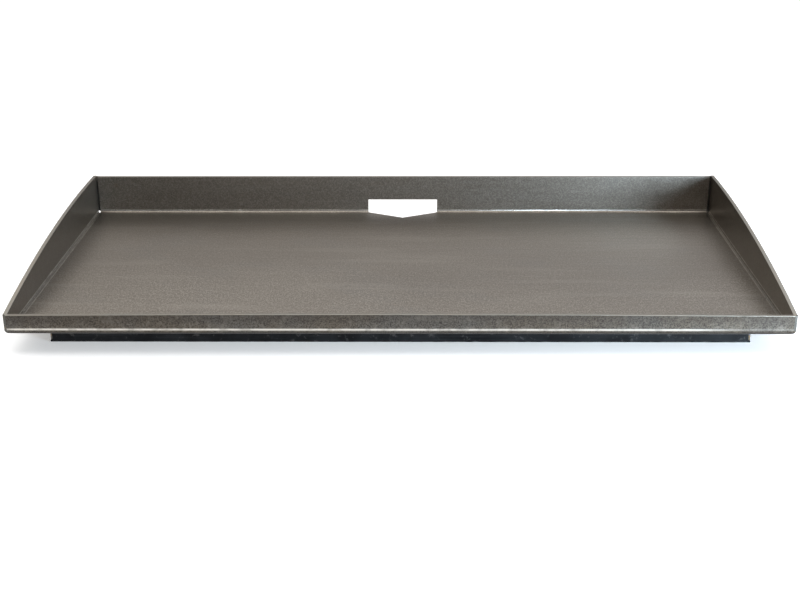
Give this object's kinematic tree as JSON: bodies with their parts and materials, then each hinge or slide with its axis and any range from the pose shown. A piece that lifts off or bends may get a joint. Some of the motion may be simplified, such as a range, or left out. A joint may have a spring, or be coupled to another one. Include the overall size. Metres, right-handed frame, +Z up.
{
  "type": "flat top griddle",
  "caption": "Wide steel griddle plate bent from sheet, with a low front lip, back splash, curved side guards and a rear drain notch, on a black angle-bar frame.",
  "frame": {"origin": "centre of the footprint, on the plane that the frame stands on", "axes": "+X to the cook's right along the width, +Y away from the cook towards the splash, +Z up"},
  "size_m": [0.9144, 0.4572, 0.0856],
  "materials": {
    "cooking_plate": "satin carbon steel, warm grey, with faint rolling marks and scraper scratches",
    "ground_weld": "weld metal ground flush",
    "black_bar": "hot-rolled bar with blue-black mill scale",
    "raw_weld": "rippled weld bead, as laid, with heat tint"
  },
  "bodies": {
    "root": {"griddle_plate": "cooking_plate", "back_left_corner_weld": "ground_weld", "back_right_corner_weld": "ground_weld", "front_left_corner_weld": "ground_weld", "front_right_corner_weld": "ground_weld", "front_rail": "black_bar", "rear_rail": "black_bar", "left_rail": "black_bar", "right_rail": "black_bar", "frame_front_left_mitre_weld": "raw_weld", "frame_front_right_mitre_weld": "raw_weld", "frame_rear_left_mitre_weld": "raw_weld", "frame_rear_right_mitre_weld": "raw_weld", "left_stiffener": "black_bar", "middle_stiffener": "black_bar", "right_stiffener": "black_bar", "front_rail_stitch_welds": "raw_weld", "rear_rail_stitch_welds": "raw_weld", "left_rail_stitch_welds": "raw_weld", "right_rail_stitch_welds": "raw_weld", "left_stiffener_stitch_welds": "raw_weld", "middle_stiffener_stitch_welds": "raw_weld", "right_stiffener_stitch_welds": "raw_weld"}
  },
  "joints": []
}
